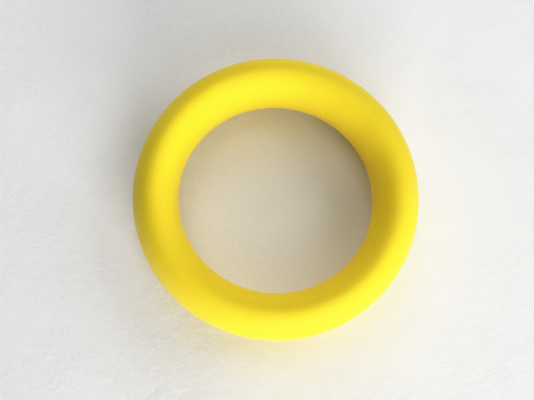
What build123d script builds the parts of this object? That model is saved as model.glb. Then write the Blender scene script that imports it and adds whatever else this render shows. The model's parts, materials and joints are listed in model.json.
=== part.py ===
from build123d import *

import math
import os

# Air-filled rubber throwing ring, lying flat. All sizes are in millimetres.
# The origin is the middle of the ring and +Z is the ring's own axis, so the moulded
# parting line lies at z = 0 and the ring rests on the circle at z = -HALF_HEIGHT.

# Outside shape: the tube's section is an oval, taller along the ring's axis than wide.
OUTER_DIAMETER = 180.0
TUBE_WIDTH = 28.5
TUBE_HEIGHT = 50.0

# Cover, moulded as two half rings that are cemented together in a stepped lap.
COVER_WALL = 2.6
LAP_THICKNESS = 1.2
LAP_DEPTH = 2.5
CEMENT_GAP = 0.05

# Air bladder, a closed tube of thin butyl rubber that lines the cover.
BLADDER_WALL = 0.9
BLADDER_CLEARANCE = 0.1

# Valve, seated square to the wall on the lower inside of the ring.
VALVE_DROP_ANGLE = 20.0
STEM_RADIUS = 4.5
FLANGE_RADIUS = 8.0
FLANGE_THICKNESS = 1.2
BODY_LENGTH = 13.0
BODY_TIP_RADIUS = 3.8

# Self-sealing core, a plug of soft rubber that the inflating needle is pushed through.
CORE_RADIUS = 2.3
CORE_LENGTH = 11.0
CORE_RECESS = 0.4
COLLAR_RADIUS = 3.0
COLLAR_LENGTH = 2.0
COLLAR_DEPTH = 7.0
CORE_CLEARANCE = 0.05
NEEDLE_LEAD_RADIUS = 1.2
NEEDLE_LEAD_DEPTH = 5.0

# Sizes that follow from the ones above.
HALF_WIDTH = TUBE_WIDTH / 2
HALF_HEIGHT = TUBE_HEIGHT / 2
RING_RADIUS = OUTER_DIAMETER / 2 - HALF_WIDTH
TONGUE_INSET = COVER_WALL - LAP_THICKNESS
BLADDER_INSET = COVER_WALL + BLADDER_CLEARANCE
CAVITY_INSET = BLADDER_INSET + BLADDER_WALL
HOLE_RADIUS = STEM_RADIUS + CEMENT_GAP
BORE_RADIUS = CORE_RADIUS + CORE_CLEARANCE
COLLAR_SEAT_RADIUS = COLLAR_RADIUS + CORE_CLEARANCE


def oval(inset):
    """The tube's section, drawn smaller by an inset on every side."""
    return Plane.XZ * Pos(RING_RADIUS, 0) * Ellipse(HALF_WIDTH - inset, HALF_HEIGHT - inset)


def layer(outer_inset, inner_inset):
    """The section of one skin of the tube, between two insets."""
    return oval(outer_inset) - oval(inner_inset)


def band(bottom, top):
    """A strip of the section plane between two heights, wider than the tube."""
    middle = (bottom + top) / 2
    return Plane.XZ * Pos(RING_RADIUS, middle) * Rectangle(2 * TUBE_WIDTH, top - bottom)


def spun(section):
    """A section turned once round the ring's axis."""
    return revolve(section, axis=Axis.Z)


def valve_plane():
    """Where the valve's axis meets the outer skin: z points out of the ring's wall."""
    drop = math.radians(VALVE_DROP_ANGLE)
    turn = math.atan2(HALF_HEIGHT * math.sin(drop), HALF_WIDTH * math.cos(drop))
    mouth = (RING_RADIUS - HALF_WIDTH * math.cos(turn), 0, -HALF_HEIGHT * math.sin(turn))
    outward = (-math.cos(drop), 0, -math.sin(drop))
    return Plane(origin=mouth, x_dir=(0, 1, 0), z_dir=outward)


def valve_rod(radius, start, end, end_radius=None):
    """A round rod on the valve's axis between two depths below the outer skin.

    A negative start stands proud of the skin. With an end radius, the rod tapers to it.
    """
    length = end - start
    tip = radius if end_radius is None else end_radius
    if tip == radius:
        rod = Cylinder(radius, length)
    else:
        rod = Cone(tip, radius, length)
    return valve_plane() * Pos(0, 0, -(start + end) / 2) * rod


def upper_cover_half():
    """Upper half of the cover, with a tongue that reaches down inside the lower half."""
    wall = layer(0, COVER_WALL) & band(0, TUBE_HEIGHT)
    tongue = layer(TONGUE_INSET, COVER_WALL) & band(-LAP_DEPTH, 0)
    return spun(wall + tongue)


def lower_cover_half():
    """Lower half of the cover, rebated for the tongue and pierced for the valve stem."""
    wall = layer(0, COVER_WALL) & band(-TUBE_HEIGHT, 0)
    rebate = oval(TONGUE_INSET - CEMENT_GAP) & band(-LAP_DEPTH - CEMENT_GAP, 0)
    return spun(wall - rebate) - valve_rod(HOLE_RADIUS, -HALF_WIDTH, CAVITY_INSET)


def air_bladder():
    """The closed inner tube that holds the air, pierced for the valve stem."""
    skin = spun(layer(BLADDER_INSET, CAVITY_INSET))
    return skin - valve_rod(HOLE_RADIUS, 0, HALF_WIDTH)


def valve_flange():
    """The valve's thin flange, curved to lie against the inside of the bladder.

    The oval curves away over the flange by less than the flange's own radius.
    """
    lining = spun(layer(CAVITY_INSET, CAVITY_INSET + FLANGE_THICKNESS))
    return lining & valve_rod(FLANGE_RADIUS, 0, FLANGE_RADIUS)


def valve_body():
    """Rubber valve body: a stem flush with the cover, its flange, and the core's seat."""
    straight = valve_rod(STEM_RADIUS, -HALF_WIDTH, CAVITY_INSET) & spun(oval(0))
    taper = valve_rod(STEM_RADIUS, CAVITY_INSET, BODY_LENGTH, BODY_TIP_RADIUS)
    bore = valve_rod(BORE_RADIUS, -HALF_WIDTH, 2 * BODY_LENGTH)
    seat_start = COLLAR_DEPTH - CORE_CLEARANCE
    seat_end = COLLAR_DEPTH + COLLAR_LENGTH + CORE_CLEARANCE
    collar_seat = valve_rod(COLLAR_SEAT_RADIUS, seat_start, seat_end)
    return straight + taper + valve_flange() - bore - collar_seat


def valve_core():
    """Self-sealing plug held by its collar, with a blind lead-in for the needle."""
    plug = valve_rod(CORE_RADIUS, CORE_RECESS, CORE_RECESS + CORE_LENGTH)
    collar = valve_rod(COLLAR_RADIUS, COLLAR_DEPTH, COLLAR_DEPTH + COLLAR_LENGTH)
    lead = valve_rod(NEEDLE_LEAD_RADIUS, 0, CORE_RECESS + NEEDLE_LEAD_DEPTH)
    return plug + collar - lead


PARTS = {
    "upper_cover_half": upper_cover_half,
    "lower_cover_half": lower_cover_half,
    "air_bladder": air_bladder,
    "valve_body": valve_body,
    "valve_core": valve_core,
}

os.makedirs("parts", exist_ok=True)
for name, make in PARTS.items():
    piece = make()
    export_step(piece, f"parts/{name}.step")
    print(f"{name}: {len(piece.solids())} solid, {piece.volume / 1000:.2f} cm3")
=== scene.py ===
# %% [markdown]
# # A soft yellow juggling ring
#
# This lesson builds the looks of a thick, air-filled rubber ring. The engineering model is
# already made, and it is loaded first as a fixed frame, in metres, with the ring's own axis
# along Z. Every piece below takes its place and its main sizes from that frame.

# %% Load the frame
import json
import math

import bmesh
import bpy
from mathutils import Matrix, Vector


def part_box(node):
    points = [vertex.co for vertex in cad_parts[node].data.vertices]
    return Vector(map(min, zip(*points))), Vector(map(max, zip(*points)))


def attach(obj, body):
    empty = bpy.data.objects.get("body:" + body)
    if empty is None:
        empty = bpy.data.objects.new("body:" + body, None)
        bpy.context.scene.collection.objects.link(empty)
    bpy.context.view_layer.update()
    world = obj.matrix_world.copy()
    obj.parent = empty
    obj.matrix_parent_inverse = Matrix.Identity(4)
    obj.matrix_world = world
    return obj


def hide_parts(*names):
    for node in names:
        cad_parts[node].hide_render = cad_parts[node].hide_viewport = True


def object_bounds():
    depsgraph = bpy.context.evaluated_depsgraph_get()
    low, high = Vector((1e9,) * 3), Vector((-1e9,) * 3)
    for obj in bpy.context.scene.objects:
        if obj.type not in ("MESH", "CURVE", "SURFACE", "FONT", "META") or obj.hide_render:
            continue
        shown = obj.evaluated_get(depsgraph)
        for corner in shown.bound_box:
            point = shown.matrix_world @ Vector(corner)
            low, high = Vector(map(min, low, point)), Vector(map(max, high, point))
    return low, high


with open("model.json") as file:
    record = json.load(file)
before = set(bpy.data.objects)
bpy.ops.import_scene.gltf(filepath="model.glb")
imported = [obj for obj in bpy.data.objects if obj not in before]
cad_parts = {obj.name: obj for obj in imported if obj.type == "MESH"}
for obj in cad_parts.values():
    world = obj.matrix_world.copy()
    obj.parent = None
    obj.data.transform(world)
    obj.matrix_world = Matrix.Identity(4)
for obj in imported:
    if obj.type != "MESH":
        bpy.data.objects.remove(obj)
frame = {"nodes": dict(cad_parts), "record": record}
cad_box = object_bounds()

MM = 0.001
scene = bpy.context.scene
print("nodes in the frame:", sorted(frame["nodes"]))

# %% [markdown]
# ## Sizes
#
# The record that comes with the frame says how large the ring is: the circle that it rests
# on, the radius of the hole, and the place and direction of the needle port. The record
# doesn't say how thick the walls are or how the valve is shaped. Those sizes are written
# down here, and if the engineering model changes they have to be changed by hand.

# %% Read the sizes
mounts = {mount["name"]: mount for mount in frame["record"]["mounts"]}
RING_RADIUS = mounts["resting_edge"]["dims"]["r_mm"] * MM
HOLE_RADIUS = mounts["hand_hole"]["dims"]["r_mm"] * MM
HALF_WIDTH = RING_RADIUS - HOLE_RADIUS
HALF_HEIGHT = (cad_box[1].z - cad_box[0].z) / 2
LAP_DEPTH = -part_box("upper_cover_half")[0].z
BLADDER_INSET = HALF_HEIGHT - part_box("air_bladder")[1].z
COVER_WALL = 2.6 * MM
LAP_THICKNESS = 1.2 * MM
CEMENT_GAP = 0.05 * MM
BLADDER_WALL = 0.9 * MM
STEM_RADIUS = 4.5 * MM
CAVITY_INSET = BLADDER_INSET + BLADDER_WALL
print(f"ring circle {RING_RADIUS / MM:.2f} mm, tube {2 * HALF_WIDTH / MM:.2f} mm wide")
print(f"tube {2 * HALF_HEIGHT / MM:.2f} mm tall, bladder {BLADDER_INSET / MM:.2f} mm deep")

# %% [markdown]
# ## The camera
#
# The ring lies flat and is seen from almost straight above. The camera leans a little
# towards the near side, so that the far inner wall shows more than the near one. A camera
# could be placed by typing a rotation, but the way used here says what it means: a point
# to look at, a lean away from straight down, a side to stand on and a distance.

# %% Place the camera
LENS = 60.67
LEAN = math.radians(13.2)
STAND = math.radians(-97.1)
AIM = Vector((-5.7, -2.1, 0)) * MM
DISTANCE = 568.8 * MM

camera_data = bpy.data.cameras.new("camera")
camera_data.lens = LENS
camera_data.sensor_width = 36
camera = bpy.data.objects.new("camera", camera_data)
scene.collection.objects.link(camera)
scene.camera = camera

back = Vector((
    math.sin(LEAN) * math.cos(STAND),
    math.sin(LEAN) * math.sin(STAND),
    math.cos(LEAN),
))
right = Vector((0, 1, 0)).cross(back).normalized()
turned = Matrix((right, back.cross(right), back)).transposed().to_4x4()
camera.matrix_world = Matrix.Translation(AIM + back * DISTANCE) @ turned
print("camera at", [round(value, 4) for value in camera.matrix_world.translation])

# %% [markdown]
# ## A helper for nodes
#
# Materials and Geometry Nodes are both trees of nodes. Adding one always means the same
# three things: make it, change its settings, and fill its inputs with a value or with the
# output of another node. One short function does all three, so that each tree below reads
# as a list of what it does.


# %% Node helper
def node(tree, kind, inputs=None, **settings):
    """Adds a node, sets its settings, and fills its inputs with values or outputs."""
    made = tree.nodes.new(kind)
    for name, value in settings.items():
        setattr(made, name, value)
    for key, value in (inputs or {}).items():
        if isinstance(value, bpy.types.NodeSocket):
            tree.links.new(value, made.inputs[key])
        else:
            made.inputs[key].default_value = value
    return made


def remap(tree, value, low, high, to_low=0.0, to_high=1.0):
    """Turns a value between low and high into one between two others, and clamps it."""
    stretched = node(tree, "ShaderNodeMapRange", {
        "Value": value,
        "From Min": low,
        "From Max": high,
        "To Min": to_low,
        "To Max": to_high,
    })
    return stretched.outputs["Result"]


def math_node(tree, operation, first, second=0.0):
    """One step of arithmetic on two values."""
    made = node(tree, "ShaderNodeMath", {0: first, 1: second}, operation=operation)
    return made.outputs["Value"]


def blend_colours(tree, amount, first, second):
    """A colour that goes from the first to the second as the amount goes from 0 to 1."""
    made = node(tree, "ShaderNodeMix", {0: amount, 6: first, 7: second}, data_type="RGBA")
    return made.outputs[2]


# %% [markdown]
# ## Rubber as a material
#
# Moulded rubber is matte. Its colour is mixed into it, and it is never quite even: there
# are broad soft patches where the mix or the cure differs, a fine grain from the mould's
# blasted surface, a few tiny specks of dust under the skin, and a chalky bloom that shows
# at grazing angles. All of this could be painted in an image, but procedural noise in
# object space needs no unwrapping, has no seam round the tube, and keeps its real size in
# millimetres. Each rubber on this ring uses the same recipe with its own colours and grain.


# %% Noise and bump helpers
def noise(tree, place, size, detail=2.0, roughness=0.5):
    """Soft noise whose blobs are about the given size, in metres."""
    made = node(tree, "ShaderNodeTexNoise", {
        "Vector": place,
        "Scale": 1.0 / size,
        "Detail": detail,
        "Roughness": roughness,
    })
    return made.outputs[0]


def bump(tree, height, depth, normal=None):
    """A bump of the given real depth, in metres, laid over an earlier bump if there is one."""
    inputs = {"Height": height, "Distance": depth, "Strength": 1.0}
    if normal is not None:
        inputs["Normal"] = normal
    return node(tree, "ShaderNodeBump", inputs).outputs["Normal"]


# %% Rubber recipe
PATCH_SIZE = 32 * MM
FINISH_SIZE = 9 * MM
PEEL_SIZE = 5 * MM
PEEL_DEPTH = 0.03 * MM
SHEEN_ROUGHNESS = 0.45
FLECK_SHADE = 0.94
FLECK_AMOUNT = 0.5


def start_material(name):
    """An empty material with its shader, and object coordinates to hang patterns on."""
    material = bpy.data.materials.new(name)
    material.use_nodes = True
    tree = material.node_tree
    tree.nodes.clear()
    place = node(tree, "ShaderNodeTexCoord").outputs["Object"]
    shader = node(tree, "ShaderNodeBsdfPrincipled")
    node(tree, "ShaderNodeOutputMaterial", {"Surface": shader.outputs[0]})
    return material, tree, place, shader


def rubber(name, plain, patchy, specular, sheen, grain_size, grain_depth, rough):
    """Moulded rubber: patches of two tones, fine grain, and an uneven matte finish."""
    material, tree, place, shader = start_material(name)
    patches = remap(tree, noise(tree, place, PATCH_SIZE, 3.0), 0.35, 0.65)
    grain = noise(tree, place, grain_size, 2.0, 0.6)
    colour = blend_colours(tree, patches, plain, patchy)
    shade = [FLECK_SHADE * channel for channel in plain[:3]] + [1.0]
    flecks = remap(tree, grain, 0.62, 0.42, 0.0, FLECK_AMOUNT)
    colour = blend_colours(tree, flecks, colour, shade)
    tree.links.new(colour, shader.inputs["Base Color"])

    matte = remap(tree, noise(tree, place, FINISH_SIZE, 3.0), 0.3, 0.7, *rough)
    tree.links.new(matte, shader.inputs["Roughness"])
    peel = bump(tree, noise(tree, place, PEEL_SIZE, 1.0), PEEL_DEPTH)
    fine = bump(tree, grain, grain_depth, peel)
    tree.links.new(fine, shader.inputs["Normal"])
    shader.inputs["Specular IOR Level"].default_value = specular
    shader.inputs["Sheen Weight"].default_value = sheen
    shader.inputs["Sheen Roughness"].default_value = SHEEN_ROUGHNESS
    return material, tree, place, shader, colour


# %% [markdown]
# ## The cover's yellow rubber
#
# The cover gets three things more than the plain recipe. Sparse tiny dark specks sit in
# its skin. A trimmed flash line, under a millimetre wide, runs along the parting of the two
# halves, where the rubber is a touch duller. And the circle that the ring rests on is
# slightly soiled, in smudges.

# %% Yellow cover rubber
YELLOW = (0.91, 0.69, 0.020, 1.0)
DEEP_YELLOW = (0.89, 0.655, 0.018, 1.0)
SPECK_BROWN = (0.20, 0.13, 0.03, 1.0)
DUSTY_YELLOW = (0.74, 0.60, 0.12, 1.0)
SPECK_SPACING = 7 * MM
SPECK_RARITY = 0.86
FLASH_EDGE = 0.45 * MM
FLASH_CORE = 0.25 * MM
FLASH_AMOUNT = 0.25
SOIL_TOP = 2.2 * MM
SOIL_FULL = 0.3 * MM
SMUDGE_SIZE = 6 * MM
SOIL_AMOUNT = 0.55

cover_rubber, tree, place, shader, colour = rubber(
    "yellow_cover_rubber",
    YELLOW,
    DEEP_YELLOW,
    specular=0.14,
    sheen=0.08,
    grain_size=0.7 * MM,
    grain_depth=0.06 * MM,
    rough=(0.60, 0.72),
)

cells = node(tree, "ShaderNodeTexVoronoi", {"Vector": place, "Scale": 1.0 / SPECK_SPACING})
near_cell = remap(tree, cells.outputs["Distance"], 0.045, 0.025)
cell_draw = node(tree, "ShaderNodeSeparateColor", {0: cells.outputs["Color"]})
rare_cell = math_node(tree, "GREATER_THAN", cell_draw.outputs[0], SPECK_RARITY)
speck = math_node(tree, "MULTIPLY", near_cell, rare_cell)
colour = blend_colours(tree, speck, colour, SPECK_BROWN)

height = node(tree, "ShaderNodeSeparateXYZ", {0: place}).outputs["Z"]
from_parting = math_node(tree, "ABSOLUTE", height)
flash_band = remap(tree, from_parting, FLASH_EDGE, FLASH_CORE, 0.0, FLASH_AMOUNT)
colour = blend_colours(tree, flash_band, colour, DUSTY_YELLOW)

underside = remap(tree, height, SOIL_TOP - HALF_HEIGHT, SOIL_FULL - HALF_HEIGHT)
smudges = remap(tree, noise(tree, place, SMUDGE_SIZE, 4.0), 0.42, 0.62)
soil = math_node(tree, "MULTIPLY", underside, smudges)
soil = math_node(tree, "MULTIPLY", soil, SOIL_AMOUNT)
colour = blend_colours(tree, soil, colour, DUSTY_YELLOW)
tree.links.new(colour, shader.inputs["Base Color"])
print("cover rubber:", len(tree.nodes), "nodes")

# %% [markdown]
# ## The hidden rubbers
#
# The bladder is black butyl rubber dusted with talc so that it slides against the cover
# while it is being fitted. The valve's stem is moulded in the cover's yellow, a little
# smoother than the cover because its mould is polished. The plug in it is a soft black
# rubber that closes again behind the needle.

# %% Bladder, stem and plug rubbers
TALC_WHITE = (0.34, 0.335, 0.32, 1.0)
TALC_SIZE = 14 * MM
TALC_AMOUNT = 0.45

bladder_rubber, tree, place, shader, colour = rubber(
    "black_bladder_rubber",
    (0.035, 0.034, 0.035, 1.0),
    (0.050, 0.049, 0.050, 1.0),
    specular=0.5,
    sheen=0.1,
    grain_size=0.9 * MM,
    grain_depth=0.03 * MM,
    rough=(0.45, 0.62),
)
talc = remap(tree, noise(tree, place, TALC_SIZE, 5.0, 0.65), 0.52, 0.75, 0.0, TALC_AMOUNT)
colour = blend_colours(tree, talc, colour, TALC_WHITE)
tree.links.new(colour, shader.inputs["Base Color"])

stem_rubber = rubber(
    "yellow_valve_rubber",
    (0.86, 0.64, 0.02, 1.0),
    (0.82, 0.60, 0.018, 1.0),
    specular=0.5,
    sheen=0.08,
    grain_size=0.35 * MM,
    grain_depth=0.012 * MM,
    rough=(0.48, 0.60),
)[0]

plug_rubber = rubber(
    "black_plug_rubber",
    (0.050, 0.048, 0.045, 1.0),
    (0.070, 0.067, 0.062, 1.0),
    specular=0.45,
    sheen=0.1,
    grain_size=0.3 * MM,
    grain_depth=0.012 * MM,
    rough=(0.55, 0.70),
)[0]
print("rubbers:", [material.name for material in bpy.data.materials])

# %% [markdown]
# ## Drawing a section unrolled
#
# Every skin of this tube has the same oval section, only drawn smaller by the depth of the
# skin. So a section is easiest to draw unrolled: one number says how far round the oval a
# point is, and the other how deep it lies under the outer skin. Angle 0 is the outermost
# point, a quarter turn on is the top, and half a turn is the wall of the hole.
#
# The cover is moulded as two halves. The upper one has a tongue that reaches down inside
# the lower one, and the lower one is rebated for it. Both lips are rounded by a tenth of
# a millimetre or so, which is what makes the parting line a hairline and not a crack.

# %% Section of a cover half
LIP_ROUND = 0.14 * MM
LIP_STEPS = 5
SKIN_STEPS = 96
LINING_STEPS = 48


def turn_at(height, inset):
    """How far round the oval at this depth a point of the outer wall has this height."""
    return math.asin(height / (HALF_HEIGHT - inset))


def between(start, end, count):
    """Evenly spaced points from start to end, without the two ends."""
    steps = [(index + 1) / (count + 1) for index in range(count)]
    return [tuple(a + (b - a) * step for a, b in zip(start, end)) for step in steps]


def half_section(side, step_inset, step_depth):
    """A cover half's closed outline. Side is 1 for the upper half and -1 for the lower."""
    wall = []
    for index in range(LIP_STEPS + 1):
        sweep = math.pi / 2 * index / LIP_STEPS
        inset = LIP_ROUND * (1 - math.cos(sweep))
        lift = LIP_ROUND * (1 - math.sin(sweep))
        wall.append((side * turn_at(lift, inset), inset))
    wall.append((0.0, step_inset))
    wall.append((turn_at(-step_depth, step_inset), step_inset))
    wall.append((turn_at(-step_depth, COVER_WALL), COVER_WALL))
    across = [(side * math.pi - turn, inset) for turn, inset in wall]
    first, last = (across, wall) if side > 0 else (wall, across)
    skin = between(first[0], last[0], SKIN_STEPS)
    lining = between(last[-1], first[-1], LINING_STEPS)
    return skin + last + lining + first[::-1]


tongue_inset = COVER_WALL - LAP_THICKNESS
upper_outline = half_section(1, tongue_inset, LAP_DEPTH)
lower_outline = half_section(-1, tongue_inset - CEMENT_GAP, LAP_DEPTH + CEMENT_GAP)
print("points in each outline:", len(upper_outline), len(lower_outline))

# %% [markdown]
# ## Sweeping a section with Geometry Nodes
#
# Each skin is the same rule: take a section and carry it once round the ring. Spinning a
# bmesh would do it, but a node tree keeps the rule in one place, with named inputs for its
# sizes. The tree first rolls the drawn section up into a true oval. It then turns it into
# a curve and sweeps it round a circle. The sweep lays the section's own y axis along -Z,
# so the tree changes the sign of the height once.


# %% The sweeping tree
def sweeping_tree():
    """Geometry Nodes that roll an unrolled section up and sweep it round the ring."""
    tree = bpy.data.node_groups.new("sweep_round_ring", "GeometryNodeTree")
    sockets = [
        ("Unrolled section", "NodeSocketGeometry"),
        ("Ring radius", "NodeSocketFloat"),
        ("Half width", "NodeSocketFloat"),
        ("Half height", "NodeSocketFloat"),
        ("Steps round", "NodeSocketInt"),
        ("Rubber", "NodeSocketMaterial"),
    ]
    for name, kind in sockets:
        tree.interface.new_socket(name, in_out="INPUT", socket_type=kind)
    tree.interface.new_socket("Skin", in_out="OUTPUT", socket_type="NodeSocketGeometry")
    given = node(tree, "NodeGroupInput").outputs

    drawn = node(tree, "GeometryNodeInputPosition").outputs[0]
    drawn = node(tree, "ShaderNodeSeparateXYZ", {0: drawn}).outputs
    reach = math_node(tree, "SUBTRACT", given["Half width"], drawn["Y"])
    climb = math_node(tree, "SUBTRACT", drawn["Y"], given["Half height"])
    across = math_node(tree, "MULTIPLY", math_node(tree, "COSINE", drawn["X"]), reach)
    down = math_node(tree, "MULTIPLY", math_node(tree, "SINE", drawn["X"]), climb)
    rolled = node(tree, "ShaderNodeCombineXYZ", {"X": across, "Y": down}).outputs[0]
    oval = node(tree, "GeometryNodeSetPosition", {
        "Geometry": given["Unrolled section"],
        "Position": rolled,
    })
    section = node(tree, "GeometryNodeMeshToCurve", {"Mesh": oval.outputs[0]})
    circle = node(tree, "GeometryNodeCurvePrimitiveCircle", {
        "Resolution": given["Steps round"],
        "Radius": given["Ring radius"],
    })
    swept = node(tree, "GeometryNodeCurveToMesh", {
        "Curve": circle.outputs[0],
        "Profile Curve": section.outputs[0],
    })
    smooth = node(tree, "GeometryNodeSetShadeSmooth", {"Geometry": swept.outputs[0]})
    real = node(tree, "GeometryNodeRealizeInstances", {"Geometry": smooth.outputs[0]})
    coloured = node(tree, "GeometryNodeSetMaterial", {
        "Geometry": real.outputs[0],
        "Material": given["Rubber"],
    })
    node(tree, "NodeGroupOutput", {"Skin": coloured.outputs[0]})
    return tree


SWEEP = sweeping_tree()
print("sweeping tree:", len(SWEEP.nodes), "nodes")

# %% [markdown]
# ## From a modifier to a plain mesh
#
# A Geometry Nodes modifier only shows its result. To ride on the frame, the piece has to be a
# plain mesh, so the evaluated result is copied into the object and the modifier is taken off. The
# inputs are set by their identifiers before that.

# %% Sweep a skin
STEPS_ROUND = 320


def measured(piece):
    """A piece's volume in cubic centimetres and its number of triangles."""
    form = bmesh.new()
    form.from_mesh(piece.data)
    volume = form.calc_volume(signed=True) * 1e6
    form.free()
    triangles = sum(len(face.vertices) - 2 for face in piece.data.polygons)
    return f"{piece.name}: {volume:.2f} cm3, {triangles} triangles"


def made_plain(piece):
    """Copies what a piece's modifiers show into its mesh and takes them off."""
    graph = bpy.context.evaluated_depsgraph_get()
    shown = piece.evaluated_get(graph)
    mesh = bpy.data.meshes.new_from_object(shown, depsgraph=graph)
    piece.modifiers.clear()
    piece.data = mesh
    mesh.name = piece.name
    return piece


def swept(name, outlines, material):
    """A skin of the tube: closed unrolled outlines swept once round the ring."""
    points, edges = [], []
    for outline in outlines:
        first, count = len(points), len(outline)
        points += [(turn, inset, 0.0) for turn, inset in outline]
        edges += [(first + k, first + (k + 1) % count) for k in range(count)]
    wire = bpy.data.meshes.new(name)
    wire.from_pydata(points, edges, [])
    piece = bpy.data.objects.new(name, wire)
    scene.collection.objects.link(piece)
    values = {
        "Ring radius": RING_RADIUS,
        "Half width": HALF_WIDTH,
        "Half height": HALF_HEIGHT,
        "Steps round": STEPS_ROUND,
        "Rubber": material,
    }
    sweep = piece.modifiers.new("sweep", "NODES")
    sweep.node_group = SWEEP
    for socket in SWEEP.interface.items_tree:
        if socket.name in values:
            sweep[socket.identifier] = values[socket.name]
    return made_plain(piece)


cover_top = swept("cover_top_moulding", [upper_outline], cover_rubber)
cover_base = swept("cover_base_moulding", [lower_outline], cover_rubber)
print(measured(cover_top))
print(measured(cover_base))

# %% [markdown]
# ## The bladder
#
# The bladder is a closed inner tube. It has two skins: the outer one lies just inside the
# cover and the inner one holds the air. The second outline is drawn the other way round,
# so that its faces point out of the rubber and into the air space.

# %% Sweep the bladder
BLADDER_STEPS = 120


def full_oval(inset, count, direction):
    """A closed outline all the way round the oval at one depth."""
    return [(direction * 2 * math.pi * k / count, inset) for k in range(count)]


bladder = swept(
    "bladder_tube",
    [full_oval(BLADDER_INSET, BLADDER_STEPS, -1), full_oval(CAVITY_INSET, BLADDER_STEPS, 1)],
    bladder_rubber,
)
print(measured(bladder))

# %% [markdown]
# ## The valve's own frame
#
# The valve sits square to the wall, low on the inside of the ring, out of sight from above.
# Its axis comes from the record's needle port. The wall that it sits in curves both
# ways, so flat discs would stand proud at one edge and sink at the other. A few Newton
# steps find how far along the axis a skin of the tube lies at any point beside the axis,
# and the round pieces are bent to that.

# %% Valve frame and wall curve
port = mounts["needle_port"]
PORT = Vector(port["pos_m"])
OUTWARD = Vector(port["axis"]).normalized()
SIDEWAYS = Vector((0, -1, 0))
UPWARD = OUTWARD.cross(SIDEWAYS)
NEWTON_STEPS = 12


def skin_height(origin, sideways, upward, inset):
    """How far out from the origin, along the valve's axis, the skin at this depth lies."""
    width, tall = HALF_WIDTH - inset, HALF_HEIGHT - inset
    height = -inset
    for _ in range(NEWTON_STEPS):
        point = origin + SIDEWAYS * sideways + UPWARD * upward + OUTWARD * height
        radius = math.hypot(point.x, point.y)
        offset = radius - RING_RADIUS
        miss = (offset / width) ** 2 + (point.z / tall) ** 2 - 1
        radius_rate = (point.x * OUTWARD.x + point.y * OUTWARD.y) / radius
        rate = 2 * offset * radius_rate / width**2 + 2 * point.z * OUTWARD.z / tall**2
        height -= miss / rate
    return height


MOUTH = PORT + OUTWARD * skin_height(PORT, 0, 0, 0)
fall = -skin_height(MOUTH, 0, STEM_RADIUS, 0)
print(f"the port's middle is {(MOUTH - PORT).length / MM:.2f} mm below the cover's skin")
print(f"the wall falls away {fall / MM:.3f} mm at the stem's upper edge")

# %% [markdown]
# ## Piercing the wall for the stem
#
# The lower half of the cover and the bladder both have a round hole for the valve's stem.
# A boolean cut with a cylinder is exact and leaves the rest of the skin as it was. After
# the cut, edges sharper than a set angle are marked sharp, so that the smooth shading of
# the wall doesn't run into the hole.

# %% Pierce a skin
HOLE_SEGMENTS = 96
SHARP_ANGLE = math.radians(35)


def pierced(piece, start, end):
    """Cuts the stem's hole through a piece, between two depths on the valve's axis."""
    form = bmesh.new()
    bmesh.ops.create_cone(
        form,
        cap_ends=True,
        segments=HOLE_SEGMENTS,
        radius1=STEM_RADIUS + CEMENT_GAP,
        radius2=STEM_RADIUS + CEMENT_GAP,
        depth=end - start,
    )
    turned = Matrix((SIDEWAYS, UPWARD, OUTWARD)).transposed().to_4x4()
    middle = Matrix.Translation(MOUTH - OUTWARD * (start + end) / 2)
    bmesh.ops.transform(form, matrix=middle @ turned, verts=form.verts)
    bmesh.ops.recalc_face_normals(form, faces=form.faces)
    drill_mesh = bpy.data.meshes.new("drill")
    form.to_mesh(drill_mesh)
    form.free()
    drill = bpy.data.objects.new("drill", drill_mesh)
    scene.collection.objects.link(drill)
    cut = piece.modifiers.new("cut", "BOOLEAN")
    cut.operation = "DIFFERENCE"
    cut.solver = "EXACT"
    cut.object = drill
    made_plain(piece)
    bpy.data.objects.remove(drill)
    bpy.data.meshes.remove(drill_mesh)
    piece.data.set_sharp_from_angle(angle=SHARP_ANGLE)
    return piece


COVER_CUT = (-4 * MM, 6 * MM)
BLADDER_CUT = (1 * MM, 8 * MM)

pierced(cover_base, *COVER_CUT)
pierced(bladder, *BLADDER_CUT)
print(measured(cover_base))
print(measured(bladder))

# %% [markdown]
# ## Turning the valve's pieces
#
# The stem and the plug are round, so each is drawn as half a section, in millimetres of
# radius and of depth below the cover's skin, and turned about the valve's axis. Small
# rounds are put on most of the corners. After turning, every point down to
# the flange is slid along the axis to the curve of the wall, and deeper ones are left
# straight, with a soft change between the two.

# %% Turn a round piece
TURN_STEPS = 96
FOLLOW_DEPTH = 4.9 * MM
STRAIGHT_DEPTH = 6.6 * MM


def rounded(before, corner, after, radius, count=5):
    """Points of a small round on a corner, between the points before and after it."""
    corner = Vector(corner)
    start = corner + (Vector(before) - corner).normalized() * radius
    end = corner + (Vector(after) - corner).normalized() * radius
    steps = [index / count for index in range(count + 1)]
    return [
        tuple(start * (1 - t) ** 2 + corner * 2 * t * (1 - t) + end * t**2) for t in steps
    ]


def with_rounds(outline, rounds):
    """An outline of (radius, depth) in millimetres with its listed corners rounded."""
    points = []
    count = len(outline)
    for index, corner in enumerate(outline):
        if index in rounds:
            before, after = outline[index - 1], outline[(index + 1) % count]
            points += rounded(before, corner, after, rounds[index])
        else:
            points.append(corner)
    return points


def valve_point(radius, depth, turn):
    """A point of a turned piece, in the ring's frame, bent to the curve of the wall."""
    sideways, upward = radius * math.cos(turn), radius * math.sin(turn)
    inset = min(max(depth, 0.0), FOLLOW_DEPTH)
    curved = skin_height(MOUTH, sideways, upward, inset) + inset
    fade = (depth - FOLLOW_DEPTH) / (STRAIGHT_DEPTH - FOLLOW_DEPTH)
    fade = 1 - min(max(fade, 0.0), 1.0)
    height = curved * fade - depth
    return MOUTH + SIDEWAYS * sideways + UPWARD * upward + OUTWARD * height


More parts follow.
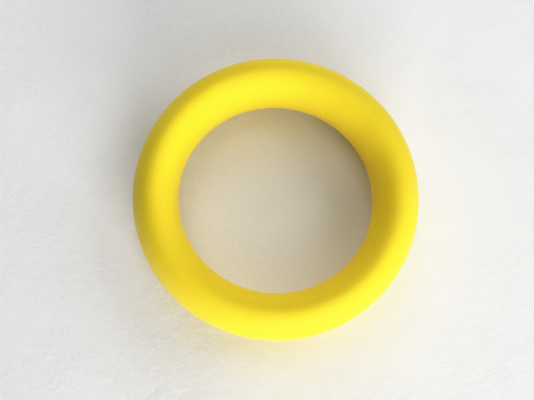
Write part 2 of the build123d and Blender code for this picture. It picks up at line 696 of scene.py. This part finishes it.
def turned_piece(name, outline, material, closed):
    """A round piece of the valve. A closed outline makes a tube, an open one a plug."""
    form = bmesh.new()
    rings = []
    for radius, depth in outline:
        radius, depth = radius * MM, depth * MM
        steps = 1 if radius == 0 else TURN_STEPS
        turns = [2 * math.pi * k / TURN_STEPS for k in range(steps)]
        rings.append([form.verts.new(valve_point(radius, depth, turn)) for turn in turns])
    pairs = list(zip(rings, rings[1:] + rings[:1]))
    for upper, lower in pairs if closed else pairs[:-1]:
        for k in range(TURN_STEPS):
            after = (k + 1) % TURN_STEPS
            corners = [upper[k % len(upper)], upper[after % len(upper)]]
            corners += [lower[after % len(lower)], lower[k % len(lower)]]
            form.faces.new(list(dict.fromkeys(corners)))
    bmesh.ops.recalc_face_normals(form, faces=form.faces)
    for face in form.faces:
        face.smooth = True
    mesh = bpy.data.meshes.new(name)
    form.to_mesh(mesh)
    form.free()
    mesh.materials.append(material)
    mesh.set_sharp_from_angle(angle=SHARP_ANGLE)
    piece = bpy.data.objects.new(name, mesh)
    scene.collection.objects.link(piece)
    return piece


# %% [markdown]
# ## The stem and its flange
#
# The stem is flush with the cover. Its flange is cemented to the lining, which is what
# keeps the air in, and its body tapers into the air space. A bore runs through it, with a
# wider seat part of the way down that grips the plug's collar.

# %% Turn the stem
STEM = 4.5
BORE = 2.35
FLANGE = 8.0
FLANGE_TOP = 3.6
FLANGE_FOOT = 4.8
BODY_FOOT = 13.0
SEAT = 3.05
SEAT_TOP = 6.95
SEAT_FOOT = 9.05

stem_outline = [
    (BORE, 0.0),
    (STEM, 0.0),
    (STEM, FLANGE_TOP),
    (FLANGE, FLANGE_TOP),
    (FLANGE, FLANGE_FOOT),
    (4.45, FLANGE_FOOT),
    (4.05, 8.8),
    (3.8, BODY_FOOT),
    (BORE, BODY_FOOT),
    (BORE, SEAT_FOOT),
    (SEAT, SEAT_FOOT),
    (SEAT, SEAT_TOP),
    (BORE, SEAT_TOP),
]
stem_rounds = {0: 0.35, 1: 0.3, 4: 0.5, 5: 0.8, 7: 0.5, 8: 0.3}
stem = turned_piece("valve_stem", with_rounds(stem_outline, stem_rounds), stem_rubber, True)
print(measured(stem))

# %% [markdown]
# ## The self-sealing plug
#
# The plug fills the bore and sits just below the mouth. A blind lead-in guides the needle,
# and from its foot a needle is pushed through solid rubber, which closes behind it. The
# plug's face is very slightly dished towards the lead-in, and the lead-in ends in a small
# funnel, where the engineering model has a flat foot.

# %% Turn the plug
PLUG = 2.3
COLLAR = 3.0
COLLAR_TOP = 7.0
COLLAR_FOOT = 9.0
LEAD_IN = 1.2
PLUG_FOOT = 11.4

plug_outline = [
    (0.0, 6.2),
    (0.35, 5.6),
    (LEAD_IN, 4.9),
    (LEAD_IN, 0.5),
    (PLUG, 0.4),
    (PLUG, COLLAR_TOP),
    (COLLAR, COLLAR_TOP),
    (COLLAR, COLLAR_FOOT),
    (PLUG, COLLAR_FOOT),
    (PLUG, PLUG_FOOT),
    (0.0, PLUG_FOOT),
]
plug_rounds = {2: 0.3, 3: 0.25, 4: 0.3, 6: 0.3, 7: 0.3, 9: 0.5}
plug = turned_piece("valve_plug", with_rounds(plug_outline, plug_rounds), plug_rubber, False)
print(measured(plug))

# %% [markdown]
# ## Standing for the engineering parts
#
# Each piece rides on the ring's one body, and the engineering part that it stands for is hidden.
# The engineering parts keep their place for the physics and get the same rubbers, so that they
# look right wherever they are shown.

# %% Ride on the frame
STANDS_FOR = [
    (cover_top, "upper_cover_half", "cover_rubber", cover_rubber),
    (cover_base, "lower_cover_half", "cover_rubber", cover_rubber),
    (bladder, "air_bladder", "bladder_rubber", bladder_rubber),
    (stem, "valve_body", "valve_rubber", stem_rubber),
    (plug, "valve_core", "core_rubber", plug_rubber),
]
for piece, part, slot, material in STANDS_FOR:
    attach(piece, "root")
    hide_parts(part)
    cad_mesh = frame["nodes"][part].data
    cad_mesh.materials.clear()
    cad_mesh.materials.append(material)
    print(f"{piece.name} stands for {part}")

# %% [markdown]
# ## The floor
#
# The ring lies on a pale, nearly neutral sheet with a fine tooth, as primed board or plaster has.
# A flat plane would end in a hard horizon from low down, so the sheet is turned as a shallow
# bowl: flat in the middle and curved up far away, as a studio backdrop is. Where the bowl curves
# up, the sheet is painted with a faint glow of its own that fades out towards the rim. This
# painted light brightens the backdrop and the shaded sides of the ring.

# %% Floor material
GLOW_START = -0.02
GLOW_HEIGHT = 0.10
GLOW_END = 0.80
BACKDROP_GLOW = 0.16
PALE = (0.858, 0.860, 0.868, 1.0)
PALE_PATCH = (0.834, 0.836, 0.847, 1.0)
PALE_FLECK = (0.795, 0.795, 0.80, 1.0)
TOOTH_DEPTH = 0.10 * MM
STROKE_DEPTH = 0.55 * MM
WAVE_DEPTH = 0.25 * MM

floor_material, tree, place, shader = start_material("pale_sheet")
broad = remap(tree, noise(tree, place, 60 * MM, 4.0, 0.55), 0.35, 0.65)
colour = blend_colours(tree, broad, PALE, PALE_PATCH)
tooth = noise(tree, place, 1.4 * MM, 4.0, 0.6)
flecks = remap(tree, tooth, 0.55, 0.35, 0.0, 0.45)
colour = blend_colours(tree, flecks, colour, PALE_FLECK)
tree.links.new(colour, shader.inputs["Base Color"])
strokes = noise(tree, place, 4.5 * MM, 5.0, 0.68)
combed = math_node(tree, "MULTIPLY", strokes, remap(tree, broad, 0.1, 0.9, 0.35, 1.0))
waves = bump(tree, noise(tree, place, 18 * MM, 2.0), WAVE_DEPTH)
waves = bump(tree, combed, STROKE_DEPTH, waves)
tree.links.new(bump(tree, tooth, TOOTH_DEPTH, waves), shader.inputs["Normal"])
height = node(tree, "ShaderNodeSeparateXYZ", {0: place}).outputs["Z"]
# Painted light: the sheet emits a faint white glow from just above the floor up the bend, fading
# out high on the rim.
glow = remap(tree, height, GLOW_START, GLOW_HEIGHT, 0.0, BACKDROP_GLOW)
fading = remap(tree, height, GLOW_END, GLOW_HEIGHT)
glow = math_node(tree, "MULTIPLY", glow, fading)
tree.links.new(glow, shader.inputs["Emission Strength"])
shader.inputs["Emission Color"].default_value = (1.0, 1.0, 1.0, 1.0)
shader.inputs["Roughness"].default_value = 0.9
shader.inputs["Specular IOR Level"].default_value = 0.2

# %% Floor mesh
FLAT_RADIUS = 2.3
BEND_RADIUS = 0.9
RIM_HEIGHT = 1.7
FLOOR_SPOKES = 96
BEND_STEPS = 12

outline = [(0.0, 0.0), (0.6, 0.0), (1.2, 0.0), (FLAT_RADIUS, 0.0)]
for index in range(1, BEND_STEPS + 1):
    sweep = math.pi / 2 * index / BEND_STEPS
    reach = FLAT_RADIUS + BEND_RADIUS * math.sin(sweep)
    outline.append((reach, BEND_RADIUS * (1 - math.cos(sweep))))
outline.append((FLAT_RADIUS + BEND_RADIUS, RIM_HEIGHT))

form = bmesh.new()
rings = []
for radius, lift in outline:
    count = 1 if radius == 0 else FLOOR_SPOKES
    turns = [2 * math.pi * k / FLOOR_SPOKES for k in range(count)]
    rings.append([
        form.verts.new((radius * math.cos(t), radius * math.sin(t), lift - HALF_HEIGHT))
        for t in turns
    ])
for inner, outer in zip(rings, rings[1:]):
    for k in range(FLOOR_SPOKES):
        after = (k + 1) % FLOOR_SPOKES
        corners = [inner[k % len(inner)], outer[k], outer[after], inner[after % len(inner)]]
        form.faces.new(list(dict.fromkeys(corners))).smooth = True
floor_mesh = bpy.data.meshes.new("floor")
form.to_mesh(floor_mesh)
form.free()
floor_mesh.materials.append(floor_material)
floor = bpy.data.objects.new("floor", floor_mesh)
scene.collection.objects.link(floor)
print("floor at", round(-HALF_HEIGHT, 4), "m")

# %% [markdown]
# ## Light
#
# The light is a low, wide, soft source on the near side, like a window, with weaker soft
# panels from the right, the back and above, and a little light from everywhere. Soft sources are
# area lights: the larger they are for their distance, the softer the shade on the tube.
# Each light is placed by the side that it comes from and how high it stands, and turned
# to face the ring.

# %% Soft lights
# Each light: name, side and lift in degrees, distance, width and height in metres, watts.
LIGHTS = [
    ("window", -72, 14, 1.80, 1.25, 0.69, 37.5),
    ("window_upper", -65, 42, 1.50, 0.92, 0.70, 4.6),
    ("panel_right", 20, 40, 1.50, 0.92, 0.92, 7.6),
    ("panel_back", 80, 35, 1.50, 1.05, 0.70, 5.2),
    ("panel_above", 120, 65, 1.50, 0.92, 0.92, 4.8),
]
LIGHT_COLOUR = (1.0, 1.0, 1.0)
WORLD_STRENGTH = 0.03

for name, side, lift, distance, width, tall, watts in LIGHTS:
    side, lift = math.radians(side), math.radians(lift)
    towards = Vector((
        math.cos(side) * math.cos(lift),
        math.sin(side) * math.cos(lift),
        math.sin(lift),
    ))
    lamp = bpy.data.lights.new(name, "AREA")
    lamp.shape = "RECTANGLE"
    lamp.size, lamp.size_y = width, tall
    lamp.energy = watts
    lamp.color = LIGHT_COLOUR
    light = bpy.data.objects.new(name, lamp)
    light.location = towards * distance
    light.rotation_mode = "QUATERNION"
    light.rotation_quaternion = towards.to_track_quat("Z", "Y")
    scene.collection.objects.link(light)

world = bpy.data.worlds.new("studio")
world.use_nodes = True
background = world.node_tree.nodes["Background"]
background.inputs["Color"].default_value = (*LIGHT_COLOUR, 1.0)
background.inputs["Strength"].default_value = WORLD_STRENGTH
scene.world = world
print("lights:", [light[0] for light in LIGHTS])

# %% [markdown]
# ## How the picture is shown
#
# The standard view shows each brightness as it is, which keeps the yellow clean, but it
# cuts off everything brighter than white. A camera rolls its highlights off instead. A
# view curve does the same here: straight up to a shoulder, then bending over, so that the
# sunny side of the ring keeps its roundness.

# %% View curve
# Pairs of scene brightness and shown brightness.
SHOULDER = [
    (0.0, 0.0),
    (0.4, 0.4),
    (0.8, 0.8),
    (0.95, 0.92),
    (1.15, 0.975),
    (1.5, 0.995),
    (2.0, 1.0),
]

scene.view_settings.view_transform = "Standard"
scene.view_settings.use_curve_mapping = True
mapping = scene.view_settings.curve_mapping
brightest = SHOULDER[-1][0]
mapping.white_level = (brightest, brightest, brightest)
STRAIGHT_UP_TO = 0.8
shared_curve = mapping.curves[3]
for bright, shown in SHOULDER[1:-1]:
    shared_curve.points.new(bright / brightest, shown)
for point in shared_curve.points:
    straight = point.location.x * brightest <= STRAIGHT_UP_TO
    point.handle_type = "VECTOR" if straight else "AUTO"
mapping.update()
print("view curve points:", [tuple(round(v, 3) for v in p.location) for p in shared_curve.points])
